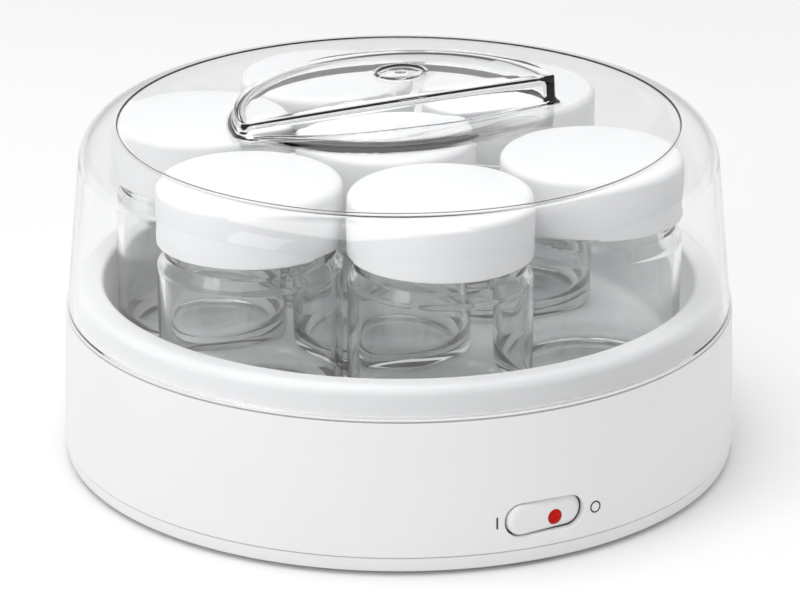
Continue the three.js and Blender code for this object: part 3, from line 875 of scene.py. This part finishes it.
# %% Outlines and how far a point is from them
# Both outlines are a flat edge closed by an arc. Each is described by a smaller core, and grown outward
# by the corner radius, so every contour has round corners. `side` is +1 behind the edge, -1 in front.
class Outline:
    def __init__(self, arc_middle, arc_radius, edge, corner, side):
        self.middle = arc_middle
        self.corner = corner
        self.radius = arc_radius - corner
        self.side = side
        self.rise = (edge + side * corner - arc_middle) * side
        self.half = math.sqrt(self.radius ** 2 - self.rise ** 2)
        self.start = math.atan2(self.rise, self.half)

    def past(self, x, y):
        """How far outside the outline a point is, negative inside it."""
        up = (y - self.middle) * self.side
        off_arc, off_edge = math.hypot(x, up) - self.radius, self.rise - up
        if off_arc <= 0 and off_edge <= 0:
            return max(off_arc, off_edge) - self.corner
        if up >= self.rise and math.atan2(up, abs(x)) >= self.start:
            return off_arc - self.corner
        if abs(x) <= self.half:
            return off_edge - self.corner
        return math.hypot(abs(x) - self.half, up - self.rise) - self.corner

    def past_arc(self, x, y):
        """The same for the arc alone, whichever side of the edge the point is on."""
        return math.hypot(x, y - self.middle) - self.radius - self.corner

    def contour(self, past, spacing):
        points = []
        grown = max(self.corner + past, 1e-5)

        def add_arc(cx, cy, radius, start, end):
            steps = max(3, int(abs(end - start) * radius / spacing))
            points.extend((cx + radius * math.cos(start + (end - start) * i / steps),
                           cy + radius * math.sin(start + (end - start) * i / steps)) for i in range(steps))

        add_arc(0, 0, self.radius + grown, self.start, math.pi - self.start)
        add_arc(-self.half, self.rise, grown, math.pi - self.start, math.pi * 1.5)
        steps = int(2 * self.half / spacing)
        points.extend((-self.half + 2 * self.half * i / steps, self.rise - grown) for i in range(steps))
        add_arc(self.half, self.rise, grown, -math.pi / 2, self.start)
        return [(x, self.middle + self.side * y) for x, y in points]


def ledge(past, height, round_in, round_out):
    """Height of a plateau: full inside its outline, nought outside, with a round at each end of the wall."""
    if past <= -DRAFT / 2 - round_in:
        return height
    if past < -DRAFT / 2:
        along = past + DRAFT / 2 + round_in
        return height - round_in + math.sqrt(max(round_in ** 2 - along ** 2, 0))
    if past <= DRAFT / 2:
        share = (past + DRAFT / 2) / DRAFT
        return (height - round_in) * (1 - share) + round_out * share
    if past < DRAFT / 2 + round_out:
        along = DRAFT / 2 + round_out - past
        return round_out - math.sqrt(max(round_out ** 2 - along ** 2, 0))
    return 0.0


def gate_mark(distance):
    """The small ring and nub that the mould's gate leaves in the middle of the grip."""
    ring = max(0.0, 1 - abs(distance - GATE_RING) / (0.55 * MM))
    nub = max(0.0, 1 - (distance / GATE_NUB) ** 2)
    return 0.4 * MM * (3 * ring ** 2 - 2 * ring ** 3) + 0.5 * MM * nub


class Skin:
    """One face of the cover: the outside has an inset of nought, the inside the wall's thickness."""

    def __init__(self, inset):
        self.inset = inset
        self.step = 0 if inset else STEP
        self.rounds = (2.4 * MM, 1.2 * MM) if inset else (0.9 * MM, 2.6 * MM)
        self.edge = edge = -FORWARD + inset
        self.grip = Outline(-FORWARD, GRIP_RADIUS - inset, edge, 2.9 * MM if inset else 1.8 * MM, 1)
        self.pocket = Outline(POCKET_MIDDLE, POCKET_RADIUS + inset, edge, 5.6 * MM, -1)

    def dome(self, distance):
        return SPHERE_Z + math.sqrt((SPHERE - self.inset) ** 2 - distance ** 2) - self.step

    def height(self, x, y):
        """Height over a plan point in the grip's own directions."""
        dome = self.dome(math.hypot(x, y))
        height = dome + ledge(self.grip.past(x, y), RISE + GRIP_SLOPE * x + self.step, *self.rounds)
        share = min(max(-self.pocket.past_arc(x, y) / POCKET_SLOPE, 0), 1)
        front = min(max((self.edge + DRAFT / 2 - y) / DRAFT, 0), 1)
        height -= (dome - (POCKET_FLOOR - self.inset)) * share * share * (3 - 2 * share) * front
        if not self.inset:
            height += gate_mark(math.hypot(x - GATE[0], y - GATE[1]))
        return height

    def contours(self):
        for k in range(6):
            yield self.grip.contour(-DRAFT / 2 - self.rounds[0] * (1 - math.sin(math.pi / 2 * k / 5)), 2 * MM)
        for k in range(8):
            yield self.grip.contour(DRAFT / 2 + self.rounds[1] * (1 - math.cos(math.pi / 2 * k / 7)), 2 * MM)
        yield self.pocket.contour(0, 3 * MM)

    def top(self):
        """Plan points and triangles of the top, out to the ring where the turned side takes over."""
        points, edges = [], []

        def add_loop(loop):
            first = len(points)
            points.extend(loop)
            edges.extend((first + i, first + (i + 1) % len(loop)) for i in range(len(loop)))

        def add_ring(ring, spacing, middle=(0, 0)):
            count = max(12, int(TAU * ring / spacing))
            for k in range(count):
                x = middle[0] + ring * math.cos(TAU * k / count)
                y = middle[1] + ring * math.sin(TAU * k / count)
                near = abs(self.grip.past(x, y))
                off_gate = math.hypot(x - GATE[0], y - GATE[1])
                if near > 3.4 * MM and (self.inset or middle == GATE or off_gate > 11 * MM):
                    points.append((x, y))

        add_loop([(TOP_RADIUS * math.cos(TAU * k / FINE), TOP_RADIUS * math.sin(TAU * k / FINE))
                  for k in range(FINE)])
        for loop in self.contours():
            add_loop(loop)
        for k in range(1, 23):
            add_ring(4 * MM * k, 3.4 * MM)
        if not self.inset:
            for ring in (0.5, 1, 1.5, 2, 2.4, 5, 7.85, 8.05, 8.25, 8.4, 8.55, 8.75, 8.95, 10):
                add_ring(ring * MM, 1.1 * MM, GATE)
        scaled = [Vector((x / MM, y / MM)) for x, y in points]
        plan, _, faces, _, _, _ = delaunay_2d_cdt(scaled, edges, [], 0, 1e-4)
        return [(p.x * MM, p.y * MM) for p in plan], faces


# %% Join the two skins with the turned side
def side_outline(inset):
    """From the rim up to the top. Outside, a fine step runs round where the shoulder ends."""
    outline = [(RIM_RADIUS - inset, COVER_LOW)]
    for k in range(15):
        turn = LEAN + (ROUND_END - LEAN) * k / 14
        outline.append((ROUND_R + (ROUND - inset) * math.cos(turn),
                        ROUND_Z + (ROUND - inset) * math.sin(turn)))
    edge_radius = outline[-1][0]
    skin = Skin(inset)
    if not inset:
        outline.append((edge_radius - 0.35 * MM, outline[-1][1]))
        edge_radius -= 0.75 * MM
        outline.append((edge_radius, skin.dome(edge_radius) - 0.12 * MM))
        edge_radius -= 0.4 * MM
        outline.append((edge_radius, skin.dome(edge_radius)))
    for k in range(1, 4):
        radius = edge_radius + (TOP_RADIUS - edge_radius) * k / 4
        outline.append((radius, skin.dome(radius)))
    return outline


def cover_mesh():
    shape = bmesh.new()
    swing = Matrix.Rotation(GRIP_TURN, 4, "Z")
    rims = []
    for inset in (0, SHELL):
        skin = Skin(inset)
        plan, faces = skin.top()
        corners = [shape.verts.new(swing @ Vector((x, y, skin.height(x, y)))) for x, y in plan]
        for face in faces:
            shape.faces.new([corners[i] for i in face])
        rings = []
        for radius, height in side_outline(inset) + [(TOP_RADIUS, skin.dome(TOP_RADIUS))]:
            rings.append([shape.verts.new(swing @ Vector((radius * math.cos(TAU * k / FINE),
                                                          radius * math.sin(TAU * k / FINE), height)))
                          for k in range(FINE)])
        rims.append(rings[0])
        for lower, upper in zip(rings, rings[1:]):
            for k in range(FINE):
                after = (k + 1) % FINE
                shape.faces.new((lower[k], lower[after], upper[after], upper[k]))
    for k in range(FINE):
        after = (k + 1) % FINE
        shape.faces.new((rims[0][k], rims[0][after], rims[1][after], rims[1][k]))
    bmesh.ops.remove_doubles(shape, verts=shape.verts, dist=1e-6)
    bmesh.ops.recalc_face_normals(shape, faces=shape.faces)
    open_edges = sum(1 for edge in shape.edges if len(edge.link_faces) != 2)
    print("cover", len(shape.faces), "faces, open edges", open_edges)
    mesh = bpy.data.meshes.new("clear_cover")
    shape.to_mesh(mesh)
    shape.free()
    return mesh


cover = piece("clear_cover", cover_mesh(), clear_plastic, 60)
settle(cover, "cover", "clear_plastic", "cover")

# %% [markdown]
# ## Inside pieces
# The heater, the switch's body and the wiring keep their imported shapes, hidden in the base, and only take
# a finish.

# %% Finishes for the inside pieces
INSIDE = {
    "heat_plate": aluminium, "heating_element": silicone, "thermal_fuse": ceramic, "fuse_clip": screw_steel,
    "terminal_block": ceramic, "switch_body": black_plastic, "switch_terminal_1": brass,
    "switch_terminal_2": brass, "switch_terminal_3": brass, "lead_block_to_switch": lead_brown,
    "lead_switch_to_element": lead_blue, "lead_element_to_fuse": lead_blue, "lead_fuse_to_block": lead_blue,
}
for node, finish in INSIDE.items():
    obj = frame["nodes"][node]
    obj.data.materials.clear()
    obj.data.materials.append(finish)
print(len(INSIDE), "inside pieces finished")

# %% [markdown]
# ## Floor and light
# A plain pale floor and a broad soft studio: a white sky with a darker band low down, so that the edges of
# the clear pieces have something to bend, a large lamp above and a smaller one from the left.

# %% Floor
floor_mesh = bpy.data.meshes.new("floor")
floor_mesh.from_pydata([(-6, -6, 0), (6, -6, 0), (6, 6, 0), (-6, 6, 0)], [], [(0, 1, 2, 3)])
floor = bpy.data.objects.new("floor", floor_mesh)
bpy.context.scene.collection.objects.link(floor)
floor_paint, floor_tree, floor_shader = new_material("floor_paint", Roughness=0.7)
floor_tree.links.new(tint(floor_tree, noise(floor_tree, 6), (0.89, 0.89, 0.895), (0.9, 0.9, 0.9)),
                     floor_shader.inputs["Base Color"])
floor_mesh.materials.append(floor_paint)

# %% Light
scene = bpy.context.scene
world = bpy.data.worlds.new("studio")
scene.world = world
world.use_nodes = True
sky_tree = world.node_tree
sky = sky_tree.nodes["Background"]
sky.inputs["Strength"].default_value = 0.8
direction = sky_tree.nodes.new("ShaderNodeTexCoord")
parts = sky_tree.nodes.new("ShaderNodeSeparateXYZ")
bands = sky_tree.nodes.new("ShaderNodeValToRGB")
bands.color_ramp.elements[0].position = 0.0
bands.color_ramp.elements[0].color = (0.78, 0.785, 0.79, 1)
bands.color_ramp.elements[1].position = 0.55
bands.color_ramp.elements[1].color = (1, 1, 1, 1)
sky_tree.links.new(direction.outputs["Generated"], parts.inputs["Vector"])
sky_tree.links.new(parts.outputs["Z"], bands.inputs["Fac"])
sky_tree.links.new(bands.outputs["Color"], sky.inputs["Color"])


def soft_lamp(name, place, aim, size, power, mirrored):
    data = bpy.data.lights.new(name, "AREA")
    data.shape = "RECTANGLE"
    data.size, data.size_y = size
    data.energy = power
    lamp = bpy.data.objects.new(name, data)
    lamp.location = place
    lamp.rotation_mode = "QUATERNION"
    lamp.rotation_quaternion = (Vector(place) - Vector(aim)).to_track_quat("Z", "Y")
    lamp.visible_glossy = mirrored
    scene.collection.objects.link(lamp)


soft_lamp("top_softbox", (-0.25, -0.2, 1.3), (0, 0, 0.05), (1.0, 1.0), 7.2, True)
soft_lamp("left_softbox", (-1.1, -0.9, 0.6), (0, 0, 0.07), (0.5, 0.9), 3.2, False)
scene.view_settings.view_transform = "Standard"
scene.cycles.max_bounces = 24
scene.cycles.transmission_bounces = 24
scene.cycles.transparent_max_bounces = 24
